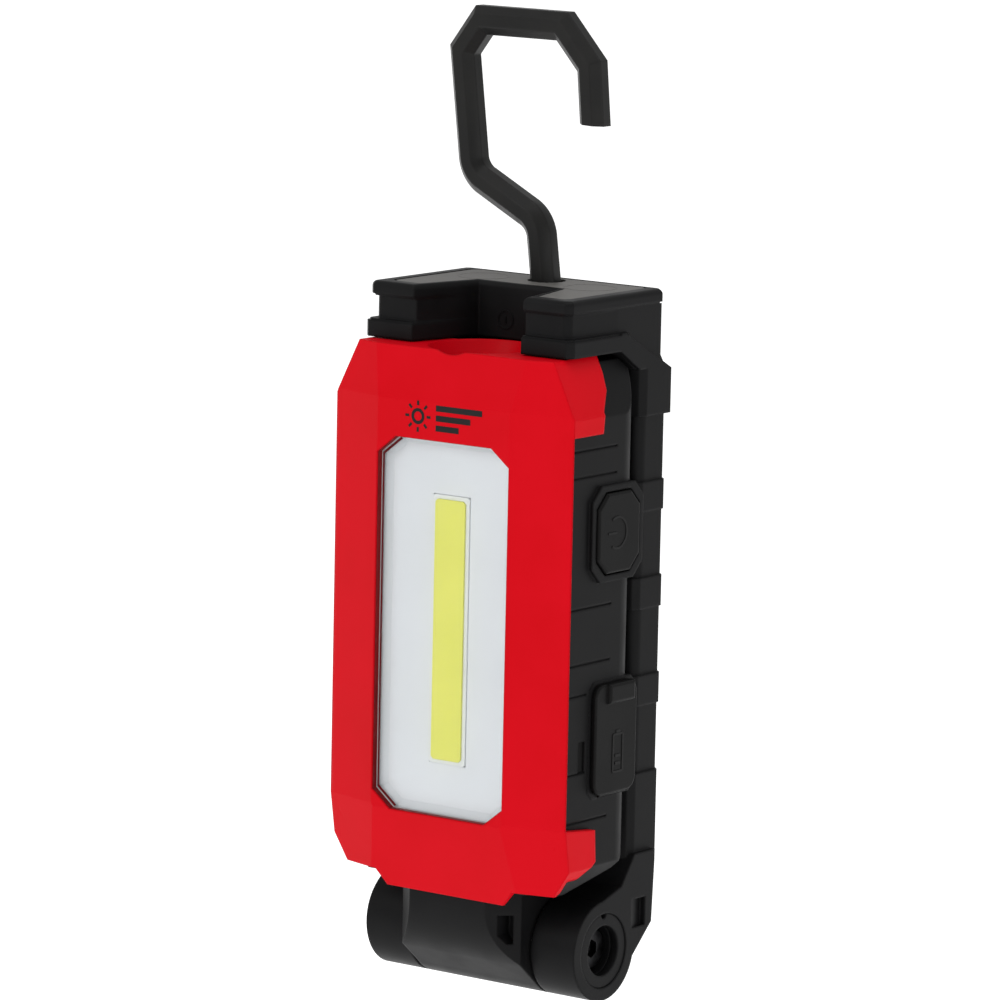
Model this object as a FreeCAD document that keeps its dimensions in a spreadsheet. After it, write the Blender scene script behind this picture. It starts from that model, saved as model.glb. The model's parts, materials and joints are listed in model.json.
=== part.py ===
import FreeCAD, Part
import math
import os
import re
import Sketcher
from FreeCAD import Placement, Rotation, Vector

# A hand-held rechargeable work light: a red and black lamp head with a long LED window,
# hinged at its foot to a stand whose top block holds two magnets and a swivelling hook.
#
# Every sub-part is drawn in one drawing frame: x to the right, y to the back, z up from the
# underside of the hinge, with x = 0 on the plane of symmetry. Each sub-part's Placement then
# moves it so that the origin is where the lamp hangs: the underside of the hook's top run.

SIZES = {
    # hook
    "hook_y": 7.0, "hook_flat": 3.1, "hook_run_z": 204.0, "hook_top_z": 200.9,
    "hook_bend_x": 1.9, "hook_bend_z": 162.5, "hook_low_x": 19.5, "hook_low_z": 171.4,
    "hook_bend_r": 6.5, "hook_left_x": 22.7, "hook_corner_z": 197.4, "hook_corner_x": 17.7,
    "hook_right_x": 3.5, "hook_turn_x": 10.7, "hook_tip_top_z": 196.1, "hook_tip_x": 11.8,
    "hook_tip_z": 183.8, "hook_shoulder_z": 148.1,
    "hook_pin_r": 2.9, "hook_pin_z": 139.2, "hook_groove_z": 140.2, "hook_groove_r": 2.2,
    "clip_r": 3.6, "clip_thick": 0.9,
    # hinge
    "pivot_y": -5.0, "pivot_z": 10.8, "barrel_r": 10.8, "ear_in": 16.4, "ear_out": 27.6,
    "knuckle_half": 15.7, "knuckle_front": -23.6, "chin_r": 16.0, "axle_r": 2.5,
    "axle_hole_r": 2.55, "axle_half": 23.6,
    "bolt_seat": 20.9, "bolt_head_r": 4.2, "recess_r": 5.4, "cap_r": 8.0, "cap_seat": 25.4,
    "cap_face": 27.4, "cap_key_r": 0.9, "washer_r": 9.0, "play": 0.05,
    # stand
    "spine_half": 25.9, "band_half": 26.5, "spine_front": 5.5, "band_front": 4.0,
    "spine_back": 14.5, "band_back": 15.2, "band_corner": 0.9, "spine_foot": 25.2, "wall": 2.1,
    "front_round": 2.6,
    "block_bottom": 138.2, "block_top": 150.0, "lip_z": 146.9, "lower_lip_z": 142.0,
    "lip_round": 1.2, "lip_ease": 0.4, "block_half": 26.3, "block_front": -20.5,
    "block_back": 13.8, "waist": 1.0, "flare_half": 27.1, "flare_front": -21.0,
    "notch_front": 14.3, "notch_back": 10.3, "notch_y": -3.0, "corner": 1.3,
    "lid_thick": 2.0, "lid_rim": 3.3, "lid_gap": 0.3,
    "magnet_x": 14.0, "magnet_y": 3.5, "magnet_r": 6.0, "magnet_thick": 5.0,
    # lamp head
    "head_half": 30.75, "wing_half": 31.1, "case_half": 29.5, "case_wall": 2.0, "case_round": 6.5,
    "rim_front": -28.3, "corner_depth": -21.6, "edge_front": -24.6, "joint_y": -24.4,
    "case_back": 2.0,
    "head_top": 137.9, "case_top": 136.4, "head_foot": 25.3, "case_foot": 24.9,
    "window_half": 17.2, "window_low": 39.4, "window_high": 119.0,
    "window_cut_x": 4.7, "window_cut_z": 3.7,
    "crease_low": 40.0, "crease_high": 127.0, "wing_low": 40.0, "wing_high": 122.5,
    "torch_y": -15.0, "torch_r": 11.5, "torch_ring_r": 12.0, "torch_ring_z": 127.0,
    "torch_throat_r": 7.6, "torch_throat_z": 130.0, "torch_bore_r": 8.6,
    # light sources
    "lens_front": -26.6, "lens_back": -26.0, "tray_front": -25.9, "tray_flange": -25.3,
    "tray_floor": -24.6, "tray_back": -23.4, "pane_margin": 1.2, "board_half": 4.8,
    "board_low": 50.1,
    "board_high": 107.3, "board_front": -24.9, "phosphor_half": 3.9, "phosphor_low": 51.0,
    "phosphor_high": 106.4, "phosphor_front": -25.3, "spreader_back": -21.3,
    # electronics
    "cell_x": -7.0, "cell_y": -11.3, "cell_r": 9.1, "cell_low": 42.0, "cell_high": 107.0,
    "pcb_x": 20.4, "pcb_thick": 1.6, "pcb_front": -20.5, "pcb_back": -1.8,
    "pcb_low": 46.0, "pcb_high": 114.0,
    # power button
    "button_y": -7.4, "button_z": 101.1, "button_half_y": 7.3, "button_half_z": 8.5,
    "button_cut": 3.2, "button_face": 30.9, "button_gap": 0.3, "surround_face": 30.4,
    "surround_edge": 1.7, "flange_in": 26.8, "flange_out": 27.4,
    "well_floor": 28.2, "travel": 0.6, "stem_r": 3.0,
    # charging port and its cover
    "port_y": -7.0, "port_z": 57.0, "port_half_y": 1.7, "port_half_z": 4.5,
    "cover_front": -14.4, "cover_back": 0.4, "cover_low": 45.7, "cover_high": 69.2,
    "cover_in": 29.75, "cover_out": 30.9, "cover_round": 2.8, "bead_r": 0.5,
    "tab_front": -10.4, "tab_back": -1.2, "tab_low": 65.0, "tab_high": 69.2, "tab_out": 31.7,
    # screws
    "screw_x": 21.8, "screw_low": 40.0, "screw_high": 121.0, "screw_r": 1.4,
    "screw_head_r": 2.6, "post_r": 3.0, "boss_r": 4.0,
}

doc = FreeCAD.newDocument("work_light")
sheet = doc.addObject("Spreadsheet::Sheet", "Sizes")
for row, (alias, number) in enumerate(SIZES.items(), start=1):
    sheet.set("A%d" % row, alias)
    sheet.set("B%d" % row, repr(number))
    sheet.setAlias("B%d" % row, alias)
doc.recompute()

SUBPARTS = []


# ---------------------------------------------------------------- helpers

def linked(text):
    """An expression in the sheet's words, as another object has to write it."""
    return re.sub(r"[a-z_]\w*", lambda m: "Sizes." + m[0] if m[0] in SIZES else m[0], str(text))


def size(text):
    """The present value of such an expression."""
    return float(sheet.evalExpression(str(text)))


def bind(obj, prop, text):
    obj.setExpression(prop, linked(text))


def finish(obj, label):
    """Name a finished sub-part and move it from the drawing frame to the lamp's own frame."""
    obj.Label = label
    bind(obj, "Placement.Base.y", "-hook_y")
    bind(obj, "Placement.Base.z", "-hook_top_z")
    SUBPARTS.append(obj)
    return obj


def origin_plane(body, role):
    return next(f for f in body.Origin.OriginFeatures if f.Role == role)


def new_body(name):
    body = doc.addObject("PartDesign::Body", name)
    doc.recompute()
    return body


def add_polygon(sketch, corners):
    """A closed outline of straight lines whose corners are held by bound distances."""
    first = sketch.GeometryCount
    points = [Vector(size(u), size(v), 0) for u, v in corners]
    count = len(points)
    for i in range(count):
        sketch.addGeometry(Part.LineSegment(points[i], points[(i + 1) % count]))
    for i in range(count):
        sketch.addConstraint(Sketcher.Constraint("Coincident", first + i, 2,
                                                 first + (i + 1) % count, 1))
    for i, (u, v) in enumerate(corners):
        for kind, text in (("DistanceX", u), ("DistanceY", v)):
            index = sketch.addConstraint(
                Sketcher.Constraint(kind, -1, 1, first + i, 1, size(text)))
            bind(sketch, "Constraints[%d]" % index, text)


def add_circle(sketch, u, v, radius):
    circle = sketch.addGeometry(
        Part.Circle(Vector(size(u), size(v), 0), Vector(0, 0, 1), size(radius)))
    for kind, text in (("DistanceX", u), ("DistanceY", v)):
        index = sketch.addConstraint(Sketcher.Constraint(kind, -1, 1, circle, 3, size(text)))
        bind(sketch, "Constraints[%d]" % index, text)
    index = sketch.addConstraint(Sketcher.Constraint("Radius", circle, size(radius)))
    bind(sketch, "Constraints[%d]" % index, radius)


def new_sketch(body, name, role, offset, loops):
    """A loop is a list of corners (u, v), or one tuple (u, v, radius) for a circle."""
    sketch = body.newObject("Sketcher::SketchObject", name + "_sketch")
    sketch.AttachmentSupport = [(origin_plane(body, role), "")]
    sketch.MapMode = "FlatFace"
    bind(sketch, "AttachmentOffset.Base.z", offset)
    for loop in loops:
        if isinstance(loop, tuple):
            add_circle(sketch, *loop)
        else:
            add_polygon(sketch, loop)
    return sketch


def pad(body, name, role, low, high, *loops):
    """Material between two heights along the plane's axis (X for YZ, Y for XZ, Z for XY)."""
    offset = "-(%s)" % high if role == "XZ_Plane" else low
    feature = body.newObject("PartDesign::Pad", name)
    feature.Profile = new_sketch(body, name, role, offset, loops)
    bind(feature, "Length", "(%s) - (%s)" % (high, low))
    doc.recompute()
    return feature


def pocket(body, name, role, low, high, *loops):
    """A cut between two heights along the plane's axis."""
    before = body.Shape.Volume
    offset = "-(%s)" % low if role == "XZ_Plane" else high
    feature = body.newObject("PartDesign::Pocket", name)
    feature.Profile = new_sketch(body, name, role, offset, loops)
    bind(feature, "Length", "(%s) - (%s)" % (high, low))
    doc.recompute()
    if body.Shape.Volume > before - 0.01:
        raise RuntimeError("%s cuts nothing" % name)
    return feature


def facet(body, name, point, normal):
    """Plane off everything beyond a point, on the side that the normal looks to."""
    before = body.Shape.Volume
    reach = 150
    square = [(-reach, -reach), (reach, -reach), (reach, reach), (-reach, reach)]
    feature = body.newObject("PartDesign::Pocket", name)
    sketch = new_sketch(body, name, "XY_Plane", 0, [square])
    sketch.AttachmentOffset = Placement(Vector(0, 0, 0), Rotation(Vector(0, 0, 1), normal))
    for axis, text in zip("xyz", point):
        bind(sketch, "AttachmentOffset.Base.%s" % axis, text)
    feature.Profile = sketch
    feature.Reversed = True
    feature.Length = reach / 3
    doc.recompute()
    if not 0.01 < before - body.Shape.Volume < before / 2:
        raise RuntimeError("%s cuts the wrong side" % name)


def round_edges(body, name, radius, wanted):
    """Round off the edges of the body so far that the test picks out."""
    base = body.Tip
    edges = ["Edge%d" % (i + 1) for i, edge in enumerate(base.Shape.Edges) if wanted(edge)]
    feature = body.newObject("PartDesign::Fillet", name)
    feature.Base = (base, edges)
    bind(feature, "Radius", radius)
    doc.recompute()


def rectangle(u0, u1, v0, v1):
    return [(u0, v0), (u1, v0), (u1, v1), (u0, v1)]


def octagon(u, v, half_u, half_v, cut_u, cut_v=None):
    """A rectangle about (u, v) with its four corners cut off."""
    cut_v = cut_u if cut_v is None else cut_v
    u0, u1 = "%s-(%s)" % (u, half_u), "%s+%s" % (u, half_u)
    v0, v1 = "%s-(%s)" % (v, half_v), "%s+%s" % (v, half_v)
    return [(u0 + "+" + cut_u, v0), (u1 + "-" + cut_u, v0),
            (u1, v0 + "+" + cut_v), (u1, v1 + "-" + cut_v),
            (u1 + "-" + cut_u, v1), (u0 + "+" + cut_u, v1),
            (u0, v1 + "-" + cut_v), (u0, v0 + "+" + cut_v)]


def mirrored_outline(right):
    """Close a right-hand run of corners, listed from the bottom up, with its mirror image."""
    left = [("-(%s)" % u, v) for u, v in reversed(right)]
    return right + left


AXIS_TURN = {"x": Rotation(Vector(0, 1, 0), 90), "y": Rotation(Vector(1, 0, 0), -90),
             "z": Rotation()}


def rod(radius, axis, low, high, at, top_radius=None):
    """A cylinder or, with a top radius, a cone along an axis. at gives its other two places."""
    obj = doc.addObject("Part::Cone" if top_radius else "Part::Cylinder", "rod")
    obj.Placement = Placement(Vector(0, 0, 0), AXIS_TURN[axis])
    if top_radius:
        bind(obj, "Radius1", radius)
        bind(obj, "Radius2", top_radius)
    else:
        bind(obj, "Radius", radius)
    bind(obj, "Height", "(%s) - (%s)" % (high, low))
    places = list(at)
    places.insert("xyz".index(axis), low)
    for name, text in zip("xyz", places):
        bind(obj, "Placement.Base.%s" % name, text)
    return obj


def brick(x0, x1, y0, y1, z0, z1):
    obj = doc.addObject("Part::Box", "brick")
    for prop, axis, low, high in (("Length", "x", x0, x1), ("Width", "y", y0, y1),
                                  ("Height", "z", z0, z1)):
        bind(obj, prop, "(%s) - (%s)" % (high, low))
        bind(obj, "Placement.Base.%s" % axis, low)
    return obj


def hexagon(radius, low, high, at):
    """A hexagonal prism along x."""
    obj = doc.addObject("Part::Prism", "hexagon")
    obj.Polygon = 6
    obj.Placement = Placement(Vector(0, 0, 0), AXIS_TURN["x"])
    bind(obj, "Circumradius", radius)
    bind(obj, "Height", "(%s) - (%s)" % (high, low))
    for name, text in zip("xyz", (low,) + at):
        bind(obj, "Placement.Base.%s" % name, text)
    return obj


def joined(*parts):
    if len(parts) == 1:
        return parts[0]
    obj = doc.addObject("Part::MultiFuse", "joined")
    obj.Shapes = list(parts)
    return obj


def cut(base, *tools):
    obj = doc.addObject("Part::Cut", "cut")
    obj.Base = base
    obj.Tool = joined(*tools)
    return obj


def group(*parts):
    """Separate solids kept together in one sub-part."""
    obj = doc.addObject("Part::Compound", "group")
    obj.Links = list(parts)
    return obj


# ---------------------------------------------------------------- stand

def block_outline(half, front, back, notch_gap="0", rear_half=None):
    """The top block seen from above: a C open to the front round the torch's light.

    rear_half is half its width from the notch's rear wall back, if that is another width."""
    mouth = "notch_front + %s" % notch_gap
    throat = "notch_back + %s" % notch_gap
    rear = rear_half or half
    widening = [(rear, "notch_y")] if rear_half else []
    return mirrored_outline([
        (throat, "notch_y + %s" % notch_gap), (mouth, front), ("%s - corner" % half, front),
        (half, "%s + corner" % front), *widening, (rear, "%s - corner" % back),
        ("%s - corner" % rear, back)])


def lid_outline(gap):
    """The flush lid follows the block's outline inside a rim; gap is its own clearance."""
    return block_outline("(block_half - lid_rim - %s)" % gap,
                         "(block_front + lid_rim + %s)" % gap,
                         "(block_back - 1.3 - %s)" % gap, "(0.9 + %s)" % gap)


def make_stand_frame():
    body = new_body("stand_frame")
    pad(body, "spine", "YZ_Plane", "-spine_half", "spine_half", [
        ("notch_y", "lip_z"), ("notch_y", "block_bottom"), ("spine_front", "132.5"),
        ("spine_front", "spine_foot"), ("13.8", "spine_foot"), ("spine_back", "28.7"),
        ("spine_back", "133.6"), ("block_back - waist", "136"),
        ("block_back - waist", "lip_z")])
    round_edges(body, "spine_rounds", "front_round", lambda edge: edge.Length > 60
                and abs(edge.CenterOfMass.y - size("spine_front")) < 0.01
                and abs(abs(edge.CenterOfMass.x) - size("spine_half")) < 0.01)
    pad(body, "waist_band", "XY_Plane", "block_bottom", "lip_z",
        block_outline("block_half - waist", "block_front + waist", "block_back - waist",
                      rear_half="spine_half"))
    # both lips are eased towards the waist by a small step
    pad(body, "top_lip_foot", "XY_Plane", "lip_z", "lip_z + lip_ease",
        block_outline("block_half - lip_ease", "block_front + lip_ease", "block_back - lip_ease"))
    pad(body, "top_lip", "XY_Plane", "lip_z + lip_ease", "block_top",
        block_outline("block_half", "block_front", "block_back"))
    round_edges(body, "lip_rounds", "lip_round", lambda edge: edge.BoundBox.ZLength < 0.01
                and abs(edge.CenterOfMass.z - size("block_top")) < 0.01)
    pad(body, "lower_lip", "XY_Plane", "block_bottom", "lower_lip_z - lip_ease",
        block_outline("flare_half", "flare_front", "notch_y + 4"))
    pad(body, "lower_lip_crown", "XY_Plane", "lower_lip_z - lip_ease", "lower_lip_z",
        block_outline("flare_half - lip_ease", "flare_front + lip_ease", "notch_y + 4"))
    brace = [("notch_y", "block_bottom"), ("band_front", "133.7"), ("band_front", "123.6"),
             ("band_back", "123.6"), ("band_back", "133.2"), ("-1.5", "lower_lip_z"),
             ("notch_y", "lower_lip_z")]
    pad(body, "brace_right", "YZ_Plane", "spine_half - 3", "flare_half", brace)
    pad(body, "brace_left", "YZ_Plane", "-flare_half", "3 - spine_half", brace)
    edge = [("flare_half - front_round", "band_front"), ("flare_half - front_round", "3"),
            ("flare_half + 1", "3"), ("flare_half + 1", "band_front + front_round"),
            ("flare_half", "band_front + front_round"),
            ("flare_half - front_round * 0.29", "band_front + front_round * 0.29")]
    pocket(body, "brace_rounds", "XY_Plane", "123", "133.7", edge,
           [("-(%s)" % u, v) for u, v in edge])
    bands = [("123.6", "133.2"), ("103.1", "109.5"), ("82.3", "89"), ("61.5", "68"),
             ("28.7", "47")]
    for number, (low, high) in enumerate(bands):
        pad(body, "band_%d" % number, "XY_Plane", low, high,
            mirrored_outline([
                ("band_half - front_round", "band_front"),
                ("band_half - front_round * 0.29", "band_front + front_round * 0.29"),
                ("band_half", "band_front + front_round"),
                ("band_half", "band_back - band_corner"),
                ("band_half - band_corner", "band_back")]))
    ear = [("spine_back - 1.7", "27.5"), ("12.1", "14.4"), ("4.2", "6.8"),
           ("pivot_y", "pivot_z"), ("pivot_y - 4.8", "20.3"), ("0.9", "23.7"),
           ("spine_front", "30"), ("spine_back - 1.7", "30")]
    for side, low, high in (("right", "ear_in", "ear_out"), ("left", "-ear_out", "-ear_in")):
        pad(body, "ear_web_" + side, "YZ_Plane", low, high, ear)
        pad(body, "barrel_" + side, "YZ_Plane", low, high, ("pivot_y", "pivot_z", "barrel_r"))
    # cells behind the spine's face, between cross ribs at the raised bands
    cells = [(31, 61), (63, 83), (85, 104), (106, 125)]
    pocket(body, "cells", "XZ_Plane", "band_front", "spine_back - wall",
           *[rectangle("wall - spine_half", "spine_half - wall", low, high)
             for low, high in cells])
    # the opening through which the hook's clip is fitted, behind the notch's rear wall
    pocket(body, "clip_access", "XZ_Plane", "notch_y + 1.8", "block_back - waist - wall",
           rectangle(-7, 7, 126.5, 141.8))
    pocket(body, "lid_recess", "XY_Plane", "block_top - lid_thick", "block_top",
           lid_outline("0"))
    pocket(body, "hook_bore", "XY_Plane", 141, "block_top", (0, "hook_y", "hook_pin_r + play"))
    for side, place in (("right", "magnet_x"), ("left", "-magnet_x")):
        pocket(body, "magnet_seat_" + side, "XY_Plane",
               "block_top - lid_thick - magnet_thick - 0.1", "block_top",
               (place, "magnet_y", "magnet_r + play"))
    # the arms of the block are hollow, open to the lid
    arm = [("16.6", "-17"), ("22.5", "-17"), ("22.5", "-5"), ("15.6", "-5")]
    pocket(body, "arm_right", "XY_Plane", 140, "block_top", arm)
    pocket(body, "arm_left", "XY_Plane", 140, "block_top", [("-" + u, v) for u, v in arm])
    # the hinge's stepped bore
    pocket(body, "axle_bore", "YZ_Plane", "-ear_out", "ear_out",
           ("pivot_y", "pivot_z", "axle_r + play"))
    for side, sign in (("right", ""), ("left", "-")):
        for name, seat, radius in (("head_recess_", "bolt_seat", "recess_r"),
                                   ("cap_seat_", "cap_seat", "cap_r + play")):
            low, high = (seat, "ear_out") if side == "right" else ("-ear_out", "-" + seat)
            pocket(body, name + side, "YZ_Plane", low, high, ("pivot_y", "pivot_z", radius))
        wedge = [("ear_out + 0.1", "4.8"), ("ear_out + 0.1", "9.7"), ("ear_out - 1.4", "9.7"),
                 ("ear_out - 0.1", "4.8")]
        pocket(body, "wedge_" + side, "XY_Plane", 14, "20.2",
               [("%s(%s)" % (sign, u), v) for u, v in wedge])
    return finish(body, "stand_frame")


def make_block_lid():
    body = new_body("block_lid")
    pad(body, "plate", "XY_Plane", "block_top - lid_thick + play", "block_top - 0.1",
        lid_outline("lid_gap"))
    pocket(body, "hook_hole", "XY_Plane", "block_top - lid_thick", "block_top",
           (0, "hook_y", "4.1"))
    return finish(body, "block_lid")


def make_magnets():
    low, high = "block_top - lid_thick - magnet_thick", "block_top - lid_thick"
    discs = [rod("magnet_r", "z", low, high, (place, "magnet_y"))
             for place in ("magnet_x", "-magnet_x")]
    finish(group(*discs), "block_magnets")


def make_hinge_hardware():
    centre = ("pivot_y", "pivot_z")
    # axle bolt: hexagon-socket head on the right, nut on the left
    shank = rod("axle_r", "x", "-axle_half", "axle_half - 2", centre)
    head = rod("bolt_head_r", "x", "axle_half - 2", "axle_half + 0.8", centre)
    socket = hexagon(2, "axle_half - 0.9", "axle_half + 1", centre)
    finish(cut(joined(shank, head), socket), "axle_bolt")
    nut = hexagon("bolt_head_r + 0.4", "-axle_half + 0.2", "-bolt_seat - play", centre)
    finish(cut(nut, rod("axle_r + 0.02", "x", "-axle_half - 1", "0 - bolt_seat + 1", centre)),
           "axle_nut")
    spring = rod("bolt_head_r + 0.3", "x", "bolt_seat + 0.05", "axle_half - 2.05", centre)
    finish(cut(spring, rod("axle_r + play", "x", "bolt_seat - 1", "axle_half", centre)),
           "axle_spring_washer")
    washers = []
    for low, high in (("knuckle_half + play", "ear_in - play"),
                      ("play - ear_in", "-knuckle_half - play")):
        disc = rod("washer_r", "x", low, high, centre)
        hole = rod("axle_r + play", "x", "%s - 1" % low, "%s + 1" % high, centre)
        washers.append(cut(disc, hole))
    finish(group(*washers), "hinge_friction_washers")
    for label, low, high in (("pivot_cap_right", "cap_seat + play", "cap_face"),
                             ("pivot_cap_left", "-cap_face", "-cap_seat - play")):
        ring = rod("cap_r", "x", low, high, centre)
        hole = rod("recess_r", "x", "%s - 1" % low, "%s + 1" % high, centre)
        key = rod("cap_key_r", "x", "%s - 1" % low, "%s + 1" % high,
                  ("pivot_y", "pivot_z + cap_r - 0.2"))
        finish(cut(ring, hole, key), label)


# ---------------------------------------------------------------- hook

def regular_octagon(flat):
    """Corners of an octagon about the origin, flat being half its width across flats."""
    small = "%s * 0.41421" % flat
    return [(flat, "-" + small), (flat, small), (small, flat), ("-" + small, flat),
            ("-" + flat, small), ("-" + flat, "-" + small), ("-" + small, "-" + flat),
            (small, "-" + flat)]


def bar_edges(points, bends):
    """Straight runs through the points, with a tangent arc where bends gives a radius."""
    edges = []
    start = points[0]
    for i in range(1, len(points) - 1):
        before = (points[i - 1] - points[i]).normalize()
        after = (points[i + 1] - points[i]).normalize()
        if i not in bends:
            edges.append(Part.LineSegment(start, points[i]))
            start = points[i]
            continue
        half = before.getAngle(after) / 2
        middle = (before + after).normalize()
        arc_in = points[i] + before * (bends[i] / math.tan(half))
        arc_out = points[i] + after * (bends[i] / math.tan(half))
        crown = points[i] + middle * (bends[i] / math.sin(half) - bends[i])
        edges += [Part.LineSegment(start, arc_in), Part.Arc(arc_in, crown, arc_out)]
        start = arc_out
    return edges + [Part.LineSegment(start, points[-1])]


def make_hook():
    """An octagonal bar: two rounded bends low down, four mitred corners round the top.

    Its upright runs lean a little to the left as they rise."""
    body = new_body("hook")
    corners = [("0", "hook_shoulder_z"), ("-hook_bend_x", "hook_bend_z"),
               ("-hook_low_x", "hook_low_z"), ("-hook_left_x", "hook_corner_z"),
               ("-hook_corner_x", "hook_run_z"), ("hook_right_x", "hook_run_z"),
               ("hook_turn_x", "hook_tip_top_z"), ("hook_tip_x", "hook_tip_z")]
    points = [Vector(size(u), size(v), 0) for u, v in corners]
    path = body.newObject("Sketcher::SketchObject", "hook_path")
    path.AttachmentSupport = [(origin_plane(body, "XZ_Plane"), "")]
    path.MapMode = "FlatFace"
    bind(path, "AttachmentOffset.Base.z", "-hook_y")
    for edge in bar_edges(points, {1: size("hook_bend_r"), 2: size("hook_bend_r")}):
        path.addGeometry(edge)
    section = new_sketch(body, "hook_section", "XY_Plane", "hook_shoulder_z",
                         [[(u, "%s + hook_y" % v) for u, v in regular_octagon("hook_flat")]])
    bar = body.newObject("PartDesign::AdditivePipe", "bar")
    bar.Profile = section
    bar.Spine = (path, ["Edge%d" % (i + 1) for i in range(len(path.Shape.Edges))])
    bar.Transition = 1
    doc.recompute()
    pad(body, "pin", "XY_Plane", "hook_pin_z", "hook_shoulder_z + 1",
        (0, "hook_y", "hook_pin_r"))
    pocket(body, "clip_groove", "XY_Plane", "hook_groove_z", "hook_groove_z + clip_thick + 0.1",
           (0, "hook_y", "hook_pin_r + 1"), (0, "hook_y", "hook_groove_r"))
    return finish(body, "hook")


def make_hook_clip():
    low, high = "hook_groove_z + play", "hook_groove_z + play + clip_thick"
    disc = rod("clip_r", "z", low, high, (0, "hook_y"))
    hole = rod("hook_groove_r + play", "z", "%s - 1" % low, "%s + 1" % high, (0, "hook_y"))
    mouth = brick("-1.9", "1.9", "hook_y - clip_r - 1", "hook_y", "%s - 1" % low,
                  "%s + 1" % high)
    finish(cut(disc, hole, mouth), "hook_clip")


# ---------------------------------------------------------------- lamp head

def window(margin):
    """The window's octagon in front view, grown by a margin."""
    return octagon("0", "(window_low + window_high) / 2", "(window_half + %s)" % margin,
                   "((window_high - window_low) / 2 + %s)" % margin,
                   "window_cut_x", "window_cut_z")


def case_outline(inset):
    """The rear housing in front view, drawn in by a wall thickness."""
    return mirrored_outline([
        ("26.3 - (%s)" % inset, "case_foot + (%s)" % inset),
        ("case_half - (%s)" % inset, "30.6 + (%s) / 2" % inset),
        ("case_half - (%s)" % inset, "125.6 - (%s) / 2" % inset),
        ("24.8 - (%s) / 2" % inset, "case_top - (%s)" % inset)])


def corner_space(gap):
    """Where the bezel's low corners reach back past the joint, on the right: they are as deep
    as their leaning facets need. gap moves the edge towards the corner."""
    return [("20.2 + %s" % gap, "24"), ("25.4 + %s" % gap, "32.9"), ("28.6 + %s" % gap, "36.4"),
            ("28.8 + %s" % gap, "39.5"), ("wing_half", "39.5"), ("wing_half", "24")]


def cavity_outline(inset):
    """The housing's hollow, closed off above its sloping floor."""
    return mirrored_outline([
        ("26 - (%s)" % inset, "32.5 + (%s)" % inset),
        ("case_half - (%s)" % inset, "36 + (%s)" % inset),
        ("case_half - (%s)" % inset, "125.6 - (%s) / 2" % inset),
        ("24.8 - (%s) / 2" % inset, "case_top - (%s)" % inset)])


def screw_places():
    return [(side + "screw_x", level) for side in ("", "-")
            for level in ("screw_low", "screw_high")]


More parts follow.
